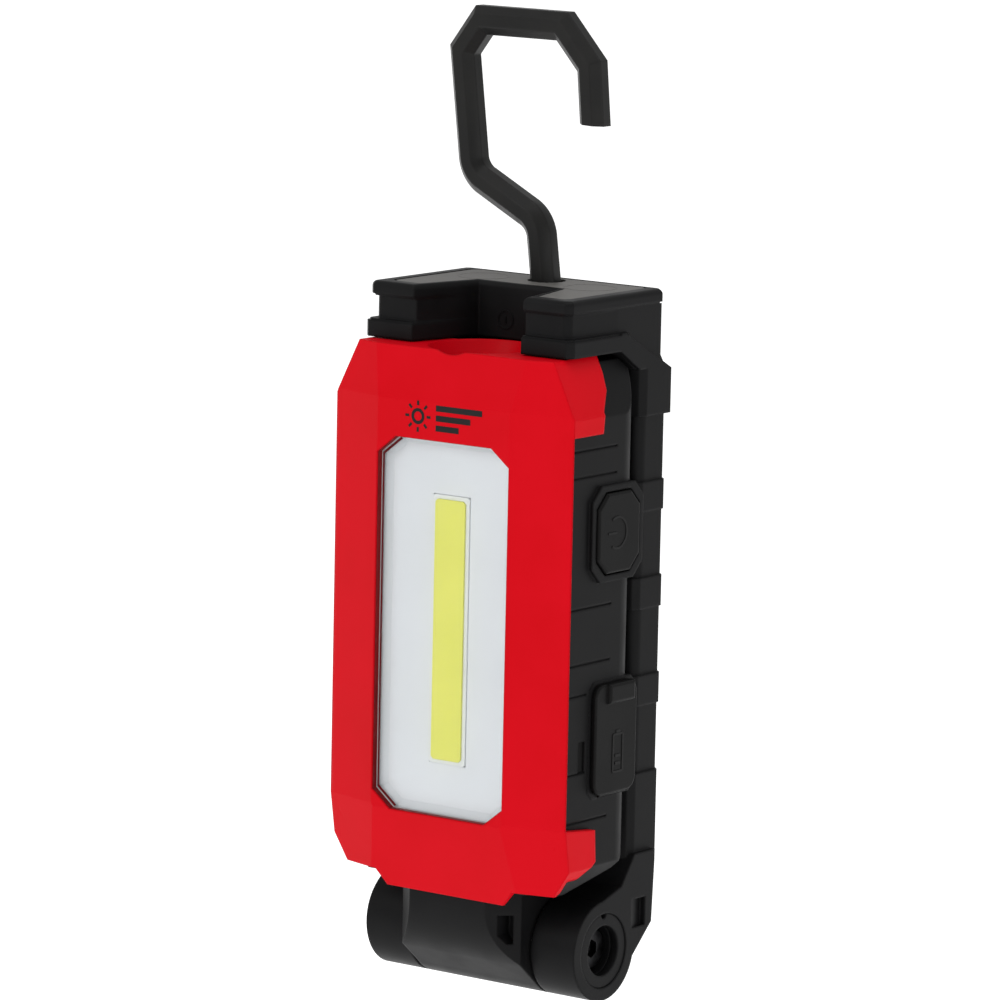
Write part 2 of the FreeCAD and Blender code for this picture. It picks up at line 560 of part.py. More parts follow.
def make_front_bezel():
    body = new_body("front_bezel")
    pad(body, "shell", "XZ_Plane", "rim_front", "-9", mirrored_outline([
        ("15.3", "22"), ("18.1", "head_foot"), ("27.4", "head_foot"), ("wing_half", "31"),
        ("wing_half", "126.2"), ("25.4", "head_top")]))
    inner = "case_half + play"
    pocket(body, "case_space", "XZ_Plane", "joint_y", "corner_depth", mirrored_outline([
        ("18.2", "26.5"), ("18.2", "24"), *corner_space("0")[:4], (inner, "39.5"),
        (inner, "125.6"), ("24.8", "case_top + play")]))
    pocket(body, "case_depth", "XZ_Plane", "corner_depth", "0", mirrored_outline([
        ("18.2", "26.5"), ("18.2", "10"), (inner, "10"), (inner, "125.6"),
        ("24.8", "case_top + play")]))
    pocket(body, "tab_back", "XZ_Plane", "knuckle_front - 0.2", "0",
           rectangle("-18.3", "18.3", "10", "26.6"))
    pocket(body, "wing_shape", "YZ_Plane", "-head_half - 1", "head_half + 1", [
        ("joint_y", "wing_low"), ("-14", "wing_low - 1.2"), ("-13.6", "32"), ("-22.2", "25.6"),
        ("-22.2", "24"), ("2", "24"), ("2", "140"), ("-9.5", "140"), ("-9.5", "134.5"),
        ("-10.3", "131"), ("-13.7", "127"), ("-14.2", "wing_high"), ("joint_y", "wing_high")])
    pad(body, "torch_ring", "XY_Plane", "torch_ring_z", "head_top",
        ("0", "torch_y", "torch_ring_r"))
    for number, (x, z) in enumerate(screw_places()):
        pad(body, "post_%d" % number, "XZ_Plane", "joint_y - 1", "-13.1", (x, z, "post_r"))
    # the faceted front: each facet leans back from the flat rim round the window
    side_slope = (size("edge_front") - size("rim_front")) / (
        size("head_half") - size("window_half"))
    foot_slope = (size("edge_front") - size("rim_front")) / (size("window_low") - 22)
    for sign, side in ((1, "right"), (-1, "left")):
        edge = "%d * window_half" % sign
        facet(body, "side_" + side, (edge, "rim_front", "80"),
              Vector(sign * side_slope, -1, 0))
        facet(body, "low_corner_" + side, (edge, "rim_front", "crease_low"),
              Vector(sign * side_slope, -1, -0.167))
        facet(body, "high_corner_" + side, (edge, "rim_front", "crease_high"),
              Vector(sign * side_slope, -1, 0.15))
    facet(body, "foot_slope", ("0", "rim_front", "window_low"), Vector(0, -1, -foot_slope))
    facet(body, "brow_slope", ("0", "rim_front", "crease_high"), Vector(0, -1, 0.209))
    pocket(body, "window_opening", "XZ_Plane", "rim_front - 1", "0 - 20", window("0"))
    pocket(body, "pane_seat", "XZ_Plane", "lens_front", "0 - 20", window("pane_margin"))
    pocket(body, "torch_bore", "XY_Plane", "torch_ring_z - 1", "torch_throat_z",
           ("0", "torch_y", "torch_bore_r"))
    funnel = body.newObject("PartDesign::SubtractiveCone", "torch_funnel")
    funnel.AttachmentSupport = [(origin_plane(body, "XY_Plane"), "")]
    funnel.MapMode = "FlatFace"
    bind(funnel, "AttachmentOffset.Base.y", "torch_y")
    bind(funnel, "AttachmentOffset.Base.z", "torch_throat_z - 0.01")
    bind(funnel, "Radius1", "torch_throat_r")
    bind(funnel, "Radius2", "torch_r")
    bind(funnel, "Height", "head_top - torch_throat_z + 0.02")
    doc.recompute()
    for number, (x, z) in enumerate(screw_places()):
        pocket(body, "pilot_%d" % number, "XZ_Plane", "joint_y + 1", "-12",
               (x, z, "screw_r + 0.02"))
    return finish(body, "front_bezel")


def side_grooves():
    """Fine grooves across the housing's sides: a height and how far back each runs."""
    runs = [("119", "-7"), ("113.4", "-7"), ("85.8", "-8"), ("74", "-8"), ("67.5", "-16"),
            ("51", "-16"), ("40.6", "-8")]
    return [rectangle("joint_y", back, level, "%s + 0.4" % level) for level, back in runs]


def make_rear_housing():
    body = new_body("rear_housing")
    pad(body, "shell", "XZ_Plane", "joint_y + play", "case_back", case_outline("0"))
    pocket(body, "shoulder", "YZ_Plane", "-head_half", "head_half", [
        ("-0.9", "140"), ("-0.9", "case_top"), ("case_back", "133.6"), ("5", "133.6"),
        ("5", "140")])
    pocket(body, "heel", "YZ_Plane", "-head_half", "head_half", [
        ("-18.2", "20"), ("-18.2", "case_foot"), ("-4.5", "28.8"), ("case_back", "33.5"),
        ("5", "33.5"), ("5", "20")])
    round_edges(body, "rear_rounds", "case_round", lambda edge: edge.Length > 60
                and abs(abs(edge.CenterOfMass.x) - size("case_half")) < 0.01
                and abs(edge.CenterOfMass.y - size("case_back")) < 0.01)
    # raised seats for the button and the port cover
    pad(body, "button_surround", "YZ_Plane", 25, "surround_face",
        octagon("button_y", "button_z", "(button_half_y + surround_edge)",
                "(button_half_z + surround_edge)", "button_cut"))
    pad(body, "port_pad", "YZ_Plane", 25, "cover_in - 0.1",
        octagon("(cover_front + cover_back) / 2", "(cover_low + cover_high) / 2",
                "(cover_back - cover_front + 1.4) / 2", "(cover_high - cover_low + 1.4) / 2",
                "1.6"))
    # the hollow narrows in two steps inside the rounded back
    pocket(body, "hollow", "XZ_Plane", "joint_y", "-5", cavity_outline("case_wall"))
    pocket(body, "hollow_rear", "XZ_Plane", "-5.1", "-2.6",
           rectangle("-25.4", "25.4", "36", "128"))
    pocket(body, "hollow_back", "XZ_Plane", "-2.7", "case_back - case_wall",
           rectangle("-22.2", "22.2", "36", "128"))
    pocket(body, "gasket_step", "XZ_Plane", "joint_y", "joint_y + 0.9",
           cavity_outline("case_wall - 1"))
    # knuckle of the hinge
    pad(body, "knuckle_neck", "YZ_Plane", "-knuckle_half", "knuckle_half", [
        ("knuckle_front", "28"), ("knuckle_front", "12.5"), ("-11.5", "2.2"),
        ("pivot_y", "pivot_z"), ("3.5", "17"), ("-3.5", "29.2")])
    round_edges(body, "knuckle_chin", "chin_r", lambda edge: edge.Length > 25
                and abs(edge.CenterOfMass.y - size("knuckle_front")) < 0.01
                and abs(edge.CenterOfMass.z - 12.5) < 0.01)
    pad(body, "knuckle_barrel", "YZ_Plane", "-knuckle_half", "knuckle_half",
        ("pivot_y", "pivot_z", "barrel_r"))
    pocket(body, "knuckle_bore", "YZ_Plane", "-knuckle_half", "knuckle_half",
           ("pivot_y", "pivot_z", "axle_hole_r"))
    pocket(body, "tab_seat", "XZ_Plane", "joint_y - 1", "knuckle_front - 0.1",
           rectangle("-18.4", "18.4", "20", "26.6"))
    for sign, side in (("", "right"), ("-", "left")):
        pocket(body, "corner_step_" + side, "XZ_Plane", "joint_y", "corner_depth + play",
               [(sign + "(%s)" % u, v) for u, v in corner_space("-play")])
        corner = [("9.6", "knuckle_front - 0.4"), ("16.5", "knuckle_front - 0.4"),
                  ("16.5", "knuckle_front + 5.8")]
        pocket(body, "knuckle_corner_" + side, "XY_Plane", "0", "case_foot",
               [(sign + u, v) for u, v in corner])
        low, high = ("case_half - 0.3", "case_half + 0.01")
        if sign:
            low, high = "-(%s)" % high, "-(%s)" % low
        pocket(body, "grooves_" + side, "YZ_Plane", low, high, *side_grooves())
    pocket(body, "knuckle_slot", "XZ_Plane", "knuckle_front", "-17.6",
           [("11.9", "14.5"), ("13.4", "12.7"), ("14.5", "12.7"), ("14.5", "18.9"),
            ("11.9", "18.9")])
    for number, (x, z) in enumerate(screw_places()):
        pad(body, "boss_%d" % number, "XZ_Plane", "-13", "0", (x, z, "boss_r"))
        pocket(body, "screw_hole_%d" % number, "XZ_Plane", "-14", "case_back + 1",
               (x, z, "screw_r + 0.2"))
        pocket(body, "screw_sink_%d" % number, "XZ_Plane", "case_back - 2.2", "case_back + 1",
               (x, z, "screw_head_r + 0.2"))
    pocket(body, "torch_opening", "XY_Plane", "torch_ring_z - play", "case_top + 1",
           ("0", "torch_y", "torch_ring_r + play"))
    # button well, port mouth and the slot of the charge light
    pocket(body, "button_well", "YZ_Plane", "well_floor", "surround_face",
           octagon("button_y", "button_z", "(button_half_y + button_gap)",
                   "(button_half_z + button_gap)", "button_cut"))
    pocket(body, "button_stem_hole", "YZ_Plane", "well_floor - 1.5", "surround_face",
           ("button_y", "button_z", "stem_r + button_gap"))
    pocket(body, "flange_space", "YZ_Plane", "flange_in - 1", "flange_out + 0.1",
           ("button_y", "button_z", "stem_r + 1.5"))
    pocket(body, "port_mouth", "YZ_Plane", 24, "cover_in",
           octagon("port_y", "port_z", "(port_half_y + 0.2)", "(port_half_z + 0.2)", "0.9"))
    pocket(body, "light_slot", "YZ_Plane", 26, "case_half + 0.01",
           rectangle("-18.4", "-16.2", "51.3", "57.8"))
    pocket(body, "cover_groove", "XZ_Plane", "cover_front + cover_round - 0.1",
           "cover_back - cover_round + 0.1", ("cover_in", "cover_low", "bead_r + 0.1"))
    for number, (y, z) in enumerate(board_screws()):
        pad(body, "board_post_%d" % number, "YZ_Plane", "pcb_x + pcb_thick + play",
            "case_half - 2", (y, z, "2.4"))
        pocket(body, "board_pilot_%d" % number, "YZ_Plane", "pcb_x", "pcb_x + 6",
               (y, z, "0.92"))
    return finish(body, "rear_housing")


def board_screws():
    return [("-17.6", "80"), ("-6", "80")]


def make_gasket():
    body = new_body("housing_gasket")
    pad(body, "ring", "XZ_Plane", "joint_y + play", "joint_y + 0.85",
        cavity_outline("case_wall - 0.95"), cavity_outline("case_wall - 0.1"))
    pocket(body, "torch_gap", "XY_Plane", 120, 140, ("0", "torch_y", "torch_ring_r + play"))
    finish(body, "housing_gasket")


def make_light_window():
    lens = new_body("window_lens")
    pad(lens, "pane", "XZ_Plane", "lens_front + play", "lens_back", window("pane_margin - 0.1"))
    finish(lens, "window_lens")
    tray = new_body("reflector_tray")
    pad(tray, "flange", "XZ_Plane", "tray_flange", "tray_back", window("pane_margin - 0.1"))
    pad(tray, "dish", "XZ_Plane", "tray_front", "tray_back", window("0.1"))
    dish = pocket(tray, "dish_hollow", "XZ_Plane", "tray_front", "tray_floor", window("-0.3"))
    dish.TaperAngle = -47
    doc.recompute()
    pocket(tray, "board_slot", "XZ_Plane", "tray_front", "tray_back",
           rectangle("-board_half - play", "board_half + play", "board_low - play",
                     "board_high + play"))
    finish(tray, "reflector_tray")
    board = new_body("cob_board")
    pad(board, "plate", "XZ_Plane", "board_front", "tray_back",
        octagon("0", "(board_low + board_high) / 2", "board_half",
                "((board_high - board_low) / 2)", "0.5"))
    finish(board, "cob_board")
    phosphor = new_body("cob_phosphor")
    pad(phosphor, "strip", "XZ_Plane", "phosphor_front", "board_front",
        octagon("0", "(phosphor_low + phosphor_high) / 2", "phosphor_half",
                "((phosphor_high - phosphor_low) / 2)", "0.6"))
    finish(phosphor, "cob_phosphor")
    plate = brick("-19.5", "19.5", "tray_back + play", "spreader_back", "43", "116")
    shelf = brick("-8", "8", "tray_back + play", "-8", "116", "118.1")
    finish(joined(plate, shelf), "heat_spreader")


def make_torch():
    centre = ("0", "torch_y")
    lens_low = "torch_throat_z - 1.65"
    finish(group(rod("torch_bore_r - 0.1", "z", lens_low, "torch_throat_z - play", centre)),
           "torch_lens")
    cup = rod("torch_bore_r - 0.2", "z", "119.6", lens_low + " - play", centre)
    bowl = rod("2.2", "z", "119.59", lens_low, centre, top_radius="torch_throat_r")
    finish(cut(cup, bowl), "torch_reflector")
    finish(group(rod("torch_bore_r - 0.2", "z", "118.2", "119.5", centre)), "torch_led_board")
    finish(joined(brick("-1.5", "1.5", "torch_y - 1.5", "torch_y + 1.5", "119.5", "120.1"),
                  rod("1.2", "z", "120.1", "120.6", centre)), "torch_led")


def make_electronics():
    centre = ("cell_x", "cell_y")
    finish(joined(rod("cell_r", "z", "cell_low", "cell_high - 1", centre),
                  rod("3.2", "z", "cell_high - 1", "cell_high", centre)), "battery_cell")
    block = brick("cell_x - 10.6", "cell_x + 10.6", "-8", "case_back - case_wall - play",
                  "cell_low - 2.6", "cell_high + 2.6")
    trough = rod("cell_r + 0.15", "z", "cell_low - 1", "cell_high + 1", centre)
    finish(cut(block, trough), "battery_cradle")
    tabs = [brick("cell_x - 3", "cell_x + 3", "cell_y - 3", "cell_y + 3", low, high)
            for low, high in (("cell_low - 0.5", "cell_low - 0.1"),
                              ("cell_high + 0.1", "cell_high + 0.5"))]
    finish(group(*tabs), "battery_contacts")
    board = brick("pcb_x", "pcb_x + pcb_thick", "pcb_front", "pcb_back", "pcb_low", "pcb_high")
    holes = [rod("1", "x", "pcb_x - 1", "pcb_x + 3", place) for place in board_screws()]
    finish(cut(board, *holes), "main_board")
    chips = [brick("pcb_x - 1.5", "pcb_x", "-14", "-9", "52", "57"),
             brick("pcb_x - 1.2", "pcb_x", "-15", "-11", "92", "96"),
             brick("pcb_x - 0.9", "pcb_x", "-8", "-5", "64", "69"),
             rod("2.6", "x", "pcb_x - 3", "pcb_x", ("-13", "68"))]
    finish(group(*chips), "board_components")
    face = "pcb_x + pcb_thick"
    screws = [joined(rod("0.88", "x", "pcb_x - 0.1", "pcb_x + 5", place),
                     rod("1.9", "x", "pcb_x - 1.4", "pcb_x - play", place))
              for place in board_screws()]
    finish(group(*screws), "board_screws")
    # push switch and the plunger that the button works
    case = brick(face, "25", "button_y - 3", "button_y + 3", "button_z - 3", "button_z + 3")
    bore = rod("1.75", "x", "23.2", "26", ("button_y", "button_z"))
    finish(cut(case, bore), "push_switch")
    finish(group(rod("1.7", "x", "23.9", "flange_in - 0.02", ("button_y", "button_z"))),
           "switch_plunger")
    # charging port: a metal shell round a contact tongue
    shell = new_body("charging_port")
    pad(shell, "outer", "YZ_Plane", face, "29.2",
        octagon("port_y", "port_z", "port_half_y", "port_half_z", "0.8"))
    pocket(shell, "mouth", "YZ_Plane", "23.5", "29.2",
           octagon("port_y", "port_z", "(port_half_y - 0.4)", "(port_half_z - 0.4)", "0.6"))
    pad(shell, "tongue", "YZ_Plane", "23.4", "28.4",
        rectangle("port_y - 0.35", "port_y + 0.35", "port_z - 3.2", "port_z + 3.2"))
    finish(shell, "charging_port")
    finish(group(brick("26.8", "case_half - 0.4", "-18.35", "-16.25", "51.35", "57.75")),
           "charge_light")


def make_power_button():
    body = new_body("power_button")
    pad(body, "stem", "YZ_Plane", "flange_in", "29.5", ("button_y", "button_z", "stem_r"))
    pad(body, "flange", "YZ_Plane", "flange_in", "flange_out",
        ("button_y", "button_z", "stem_r + 1.2"))
    pad(body, "cap", "YZ_Plane", "well_floor + travel + 0.1", "button_face",
        octagon("button_y", "button_z", "button_half_y", "button_half_z", "button_cut"))
    round_edges(body, "cap_rounds", "0.6",
                lambda edge: abs(edge.CenterOfMass.x - size("button_face")) < 0.01)
    finish(body, "power_button")


def make_port_cover():
    """A rubber flap: it bends on a bead along its low edge and has a rounded lip to pull."""
    body = new_body("port_cover")
    pad(body, "flap", "YZ_Plane", "cover_in", "cover_out",
        rectangle("cover_front", "cover_back", "cover_low", "cover_high"))
    round_edges(body, "corners", "cover_round", lambda edge: edge.BoundBox.XLength > 1)
    round_edges(body, "rim", "0.5",
                lambda edge: abs(edge.CenterOfMass.x - size("cover_out")) < 0.01)
    pad(body, "pull_tab", "YZ_Plane", "cover_out - 0.8", "tab_out",
        rectangle("tab_front", "tab_back", "tab_low", "tab_high"))
    round_edges(body, "tab_rounds", "0.7",
                lambda edge: abs(edge.CenterOfMass.x - size("tab_out")) < 0.01)
    pad(body, "hinge_bead", "XZ_Plane", "cover_front + cover_round", "cover_back - cover_round",
        ("cover_in", "cover_low", "bead_r"))
    pad(body, "plug", "YZ_Plane", "cover_in - 1.1", "cover_in + 0.2",
        octagon("port_y", "port_z", "(port_half_y - 0.65)", "(port_half_z - 0.65)", "0.5"))
    finish(body, "port_cover")


def make_housing_screws():
    screws = []
    for place in screw_places():
        shank = rod("screw_r", "y", "-21", "case_back - 2.1", place)
        head = rod("screw_head_r", "y", "case_back - 2.15", "case_back - 0.7", place)
        socket = brick("%s - 1.6" % place[0], "%s + 1.6" % place[0], "case_back - 1.4",
                       "case_back", "%s - 0.35" % place[1], "%s + 0.35" % place[1])
        cross = brick("%s - 0.35" % place[0], "%s + 0.35" % place[0], "case_back - 1.4",
                      "case_back", "%s - 1.6" % place[1], "%s + 1.6" % place[1])
        screws.append(cut(joined(shank, head), socket, cross))
    finish(group(*screws), "housing_screws")


# ---------------------------------------------------------------- build, check and write

for make in (make_stand_frame, make_block_lid, make_magnets, make_hinge_hardware, make_hook,
             make_hook_clip, make_front_bezel, make_rear_housing, make_gasket,
             make_light_window, make_torch, make_electronics, make_power_button,
             make_port_cover, make_housing_screws):
    make()
doc.recompute()

failed = [obj.Name for obj in doc.Objects if {"Invalid", "Error"} & set(obj.State)]
broken = [obj.Label for obj in SUBPARTS if obj.Shape.isNull() or not obj.Shape.isValid()]
if failed or broken:
    raise RuntimeError("failed: %s, broken: %s" % (failed, broken))

os.makedirs("parts", exist_ok=True)
for obj in SUBPARTS:
    obj.Shape.exportStep("parts/%s.step" % obj.Label)
    print("%-24s %d solid(s) %9.1f mm3" % (obj.Label, len(obj.Shape.Solids), obj.Shape.Volume))
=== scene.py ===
"""Looks of the work light: materials, rounded edges, signs, window edge, floor, lamps and camera."""

import json
import math

import bmesh
import bpy
from mathutils import Matrix, Vector
from mathutils.bvhtree import BVHTree


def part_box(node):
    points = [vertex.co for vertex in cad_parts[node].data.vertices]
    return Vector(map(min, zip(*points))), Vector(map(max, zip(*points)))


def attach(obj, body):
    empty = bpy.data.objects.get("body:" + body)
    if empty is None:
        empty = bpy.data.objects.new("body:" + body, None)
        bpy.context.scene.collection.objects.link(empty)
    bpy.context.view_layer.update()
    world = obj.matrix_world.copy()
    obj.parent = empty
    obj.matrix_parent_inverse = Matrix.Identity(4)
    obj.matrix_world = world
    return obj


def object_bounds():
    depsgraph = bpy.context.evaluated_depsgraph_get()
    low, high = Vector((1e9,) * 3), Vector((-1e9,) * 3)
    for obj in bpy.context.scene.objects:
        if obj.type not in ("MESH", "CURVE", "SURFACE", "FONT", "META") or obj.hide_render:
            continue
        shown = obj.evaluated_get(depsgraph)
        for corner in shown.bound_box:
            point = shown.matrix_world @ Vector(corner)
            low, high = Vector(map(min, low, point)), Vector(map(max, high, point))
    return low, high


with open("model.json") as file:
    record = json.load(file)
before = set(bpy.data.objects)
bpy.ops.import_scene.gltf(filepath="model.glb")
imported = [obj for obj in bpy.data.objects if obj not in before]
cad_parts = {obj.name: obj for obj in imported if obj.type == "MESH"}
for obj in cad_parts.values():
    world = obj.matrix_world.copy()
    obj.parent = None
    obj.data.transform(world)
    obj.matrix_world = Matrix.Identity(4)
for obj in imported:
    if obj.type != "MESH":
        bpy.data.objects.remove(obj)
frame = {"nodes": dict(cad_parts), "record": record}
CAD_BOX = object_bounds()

MM = 0.001
NODES = frame["nodes"]


# ---------------------------------------------------------------- materials

# most values of a noise texture lie in this part of its range
NOISE_LOW, NOISE_HIGH = 0.35, 0.65


def tree_of(name):
    """A new material with only its output node; returns the material, its tree and the output."""
    material = bpy.data.materials.new(name)
    material.use_nodes = True
    tree = material.node_tree
    tree.nodes.clear()
    output = tree.nodes.new("ShaderNodeOutputMaterial")
    return material, tree, output


def noise(tree, size_mm, detail=3.0):
    """Noise with features about size_mm across, in the object's own metres."""
    where = tree.nodes.new("ShaderNodeTexCoord")
    texture = tree.nodes.new("ShaderNodeTexNoise")
    texture.inputs["Scale"].default_value = 1.0 / (size_mm * MM)
    texture.inputs["Detail"].default_value = detail
    tree.links.new(where.outputs["Object"], texture.inputs["Vector"])
    return texture.outputs["Fac"]


def spread(tree, value, low, high, bottom=NOISE_LOW, top=NOISE_HIGH):
    """value from bottom to top of its range, as low to high."""
    node = tree.nodes.new("ShaderNodeMapRange")
    node.inputs["From Min"].default_value = bottom
    node.inputs["From Max"].default_value = top
    node.inputs["To Min"].default_value = low
    node.inputs["To Max"].default_value = high
    tree.links.new(value, node.inputs["Value"])
    return node.outputs["Result"]


def shade(tree, value, dark, light):
    """A colour that runs from dark to light over a noise's usual values."""
    ramp = tree.nodes.new("ShaderNodeValToRGB")
    ramp.color_ramp.elements[0].position = NOISE_LOW
    ramp.color_ramp.elements[0].color = (*dark, 1)
    ramp.color_ramp.elements[1].position = NOISE_HIGH
    ramp.color_ramp.elements[1].color = (*light, 1)
    tree.links.new(value, ramp.inputs["Fac"])
    return ramp.outputs["Color"]


def grain(tree, shader, size_mm, depth_mm, edge_mm):
    """A fine moulded or worn texture on the shader's surface, with its edges eased by edge_mm."""
    ease = tree.nodes.new("ShaderNodeBevel")
    ease.samples = 6
    ease.inputs["Radius"].default_value = edge_mm * MM
    bump = tree.nodes.new("ShaderNodeBump")
    bump.inputs["Strength"].default_value = 1.0
    bump.inputs["Distance"].default_value = depth_mm * MM
    tree.links.new(ease.outputs["Normal"], bump.inputs["Normal"])
    tree.links.new(noise(tree, size_mm, detail=2.0), bump.inputs["Height"])
    tree.links.new(bump.outputs["Normal"], shader.inputs["Normal"])


def solid_finish(
    name, dark, light, rough, patch=9.0, texture=(0.5, 0.01),
    metallic=0.0, specular=0.5, coat=0.0, edge=0.2, glow=0.0,
):
    """A moulded, painted or metal finish.

    Colour runs from dark to light, and roughness over rough, in patches about patch mm across.
    texture is the size and depth of a fine relief, and edge how far sharp edges are eased, in mm.
    """
    material, tree, output = tree_of(name)
    shader = tree.nodes.new("ShaderNodeBsdfPrincipled")
    shader.inputs["Metallic"].default_value = metallic
    shader.inputs["Specular IOR Level"].default_value = specular
    shader.inputs["Coat Weight"].default_value = coat
    shader.inputs["Coat Roughness"].default_value = 0.12
    shader.inputs["Emission Color"].default_value = (1, 1, 1, 1)
    shader.inputs["Emission Strength"].default_value = glow
    patches = noise(tree, patch)
    tree.links.new(shade(tree, patches, dark, light), shader.inputs["Base Color"])
    tree.links.new(spread(tree, patches, *rough), shader.inputs["Roughness"])
    grain(tree, shader, *texture, edge)
    tree.links.new(shader.outputs["BSDF"], output.inputs["Surface"])
    return material


def clear_finish(name, tint, rough, skin_share):
    """A thin clear moulding: light goes straight through, under a slightly hazy glossy skin.

    skin_share is how much the skin hides where the surface is looked at squarely.
    """
    material, tree, output = tree_of(name)
    through = tree.nodes.new("ShaderNodeBsdfTransparent")
    through.inputs["Color"].default_value = (*tint, 1)
    skin = tree.nodes.new("ShaderNodeBsdfPrincipled")
    skin.inputs["Specular IOR Level"].default_value = 0.5
    haze = noise(tree, 14.0)
    haze_dark, haze_light = (0.62, 0.64, 0.65), (0.7, 0.72, 0.73)
    tree.links.new(shade(tree, haze, haze_dark, haze_light), skin.inputs["Base Color"])
    tree.links.new(spread(tree, haze, rough, rough + 0.03), skin.inputs["Roughness"])
    mix = tree.nodes.new("ShaderNodeMixShader")
    rim = tree.nodes.new("ShaderNodeFresnel")
    rim.inputs["IOR"].default_value = 1.35
    amount = spread(tree, rim.outputs["Fac"], skin_share, 1.0, 0.0, 1.0)
    tree.links.new(amount, mix.inputs["Fac"])
    tree.links.new(through.outputs["BSDF"], mix.inputs[1])
    tree.links.new(skin.outputs["BSDF"], mix.inputs[2])
    tree.links.new(mix.outputs["Shader"], output.inputs["Surface"])
    return material


# the looks of each material slot: two colours, the range of roughness, and what else is special
SOLID_LOOKS = {
    # plastics and rubber of the outside
    "black_plastic": dict(
        dark=(0.0045, 0.0045, 0.0048), light=(0.0062, 0.0062, 0.0065), rough=(0.42, 0.5),
        specular=0.08, edge=0.7,
    ),
    # painted light: the lid's grey is far lighter than the other black plastics, for the brighter light
    # that falls on its top
    "black_lid": dict(
        dark=(0.068, 0.066, 0.061), light=(0.112, 0.107, 0.100), rough=(0.5, 0.62),
        patch=1.2, texture=(0.35, 0.04), specular=0.4,
    ),
    "hook_plastic": dict(
        dark=(0.005, 0.005, 0.0048), light=(0.0075, 0.0072, 0.0066), rough=(0.34, 0.42),
        specular=0.18, edge=0.6,
    ),
    "red_plastic": dict(
        dark=(0.50, 0.0005, 0.005), light=(0.53, 0.001, 0.007), rough=(0.38, 0.44),
        patch=20.0, texture=(0.8, 0.004), specular=0.05, edge=0.6,
    ),
    "rubber": dict(
        dark=(0.0040, 0.0040, 0.0040), light=(0.0055, 0.0055, 0.0055), rough=(0.4, 0.5),
        specular=0.08, edge=0.4,
    ),
    "light_pipe": dict(
        dark=(0.003, 0.003, 0.003), light=(0.004, 0.004, 0.004), rough=(0.4, 0.5),
        specular=0.06,
    ),
    # behind the window
    "white_plastic": dict(
        dark=(0.91, 0.92, 0.93), light=(0.93, 0.94, 0.945), rough=(0.35, 0.42),
        patch=16.0, specular=0.4,
    ),
    "led_board": dict(
        dark=(0.92, 0.93, 0.92), light=(0.94, 0.95, 0.94), rough=(0.3, 0.36),
        specular=0.4,
    ),
    "phosphor": dict(
        dark=(0.96, 0.95, 0.115), light=(0.99, 0.97, 0.13), rough=(0.5, 0.6),
        texture=(0.3, 0.01),
    ),
    # metals
    "aluminium": dict(
        dark=(0.70, 0.71, 0.72), light=(0.78, 0.79, 0.80), rough=(0.3, 0.4),
        metallic=1.0,
    ),
    "reflector": dict(
        dark=(0.86, 0.86, 0.87), light=(0.92, 0.92, 0.92), rough=(0.08, 0.14),
        metallic=1.0, texture=(1.5, 0.002),
    ),
    "steel": dict(
        dark=(0.50, 0.50, 0.51), light=(0.58, 0.58, 0.59), rough=(0.28, 0.4),
        metallic=1.0, patch=3.0,
    ),
    "black_steel": dict(
        dark=(0.02, 0.02, 0.021), light=(0.03, 0.03, 0.032), rough=(0.3, 0.4),
        metallic=1.0, patch=2.0,
    ),
    "magnet": dict(
        dark=(0.64, 0.64, 0.65), light=(0.72, 0.72, 0.73), rough=(0.18, 0.26),
        metallic=1.0, patch=4.0,
    ),
    "nickel": dict(
        dark=(0.66, 0.63, 0.58), light=(0.74, 0.71, 0.67), rough=(0.22, 0.32),
        metallic=1.0, patch=3.0,
    ),
    # inside the head and the hinge
    "battery_wrap": dict(
        dark=(0.04, 0.20, 0.42), light=(0.06, 0.24, 0.48), rough=(0.25, 0.35),
        coat=0.3,
    ),
    "circuit_board": dict(
        dark=(0.015, 0.17, 0.06), light=(0.03, 0.23, 0.08), rough=(0.35, 0.45),
        patch=2.5,
    ),
    "component": dict(
        dark=(0.03, 0.03, 0.035), light=(0.05, 0.05, 0.055), rough=(0.45, 0.55),
        patch=1.5,
    ),
    "washer_plastic": dict(
        dark=(0.68, 0.67, 0.63), light=(0.76, 0.75, 0.71), rough=(0.4, 0.5),
        patch=3.0,
    ),
}
FINISHES = {name: solid_finish(name, **looks) for name, looks in SOLID_LOOKS.items()}
FINISHES["clear_lens"] = clear_finish("clear_lens", (0.98, 0.985, 0.99), 0.03, 0.02)
for part in frame["record"]["subparts"]:
    data = NODES[part["node"]].data
    data.materials.clear()
    data.materials.append(FINISHES[part["material_slot"]])


# ---------------------------------------------------------------- rounded edges


def soften(name, width_mm):
    """Rounds a moulded part's sharp edges by width_mm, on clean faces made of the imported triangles."""
    node = NODES[name]
    weld = node.modifiers.new("weld", "WELD")
    weld.merge_threshold = 0.002 * MM
    merge = node.modifiers.new("merge", "DECIMATE")
    merge.decimate_type = "DISSOLVE"
    merge.angle_limit = math.radians(0.5)
    bevel = node.modifiers.new("bevel", "BEVEL")
    bevel.width = width_mm * MM
    bevel.segments = 3
    bevel.limit_method = "ANGLE"
    bevel.angle_limit = math.radians(25)
    bevel.harden_normals = True


# ---------------------------------------------------------------- raised and printed signs


def add_object(name, mesh, finish):
    """A new object in the scene, made of a mesh with one finish."""
    added = bpy.data.objects.new(name, mesh)
    bpy.context.scene.collection.objects.link(added)
    mesh.materials.append(finish)
    return added


def mesh_from(shape, name):
    """The mesh of a finished bmesh, which is freed."""
    mesh = bpy.data.meshes.new(name)
    shape.to_mesh(mesh)
    shape.free()
    return mesh


def middle(node):
    """The middle of a CAD node's box."""
    low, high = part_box(node)
    return (low + high) / 2


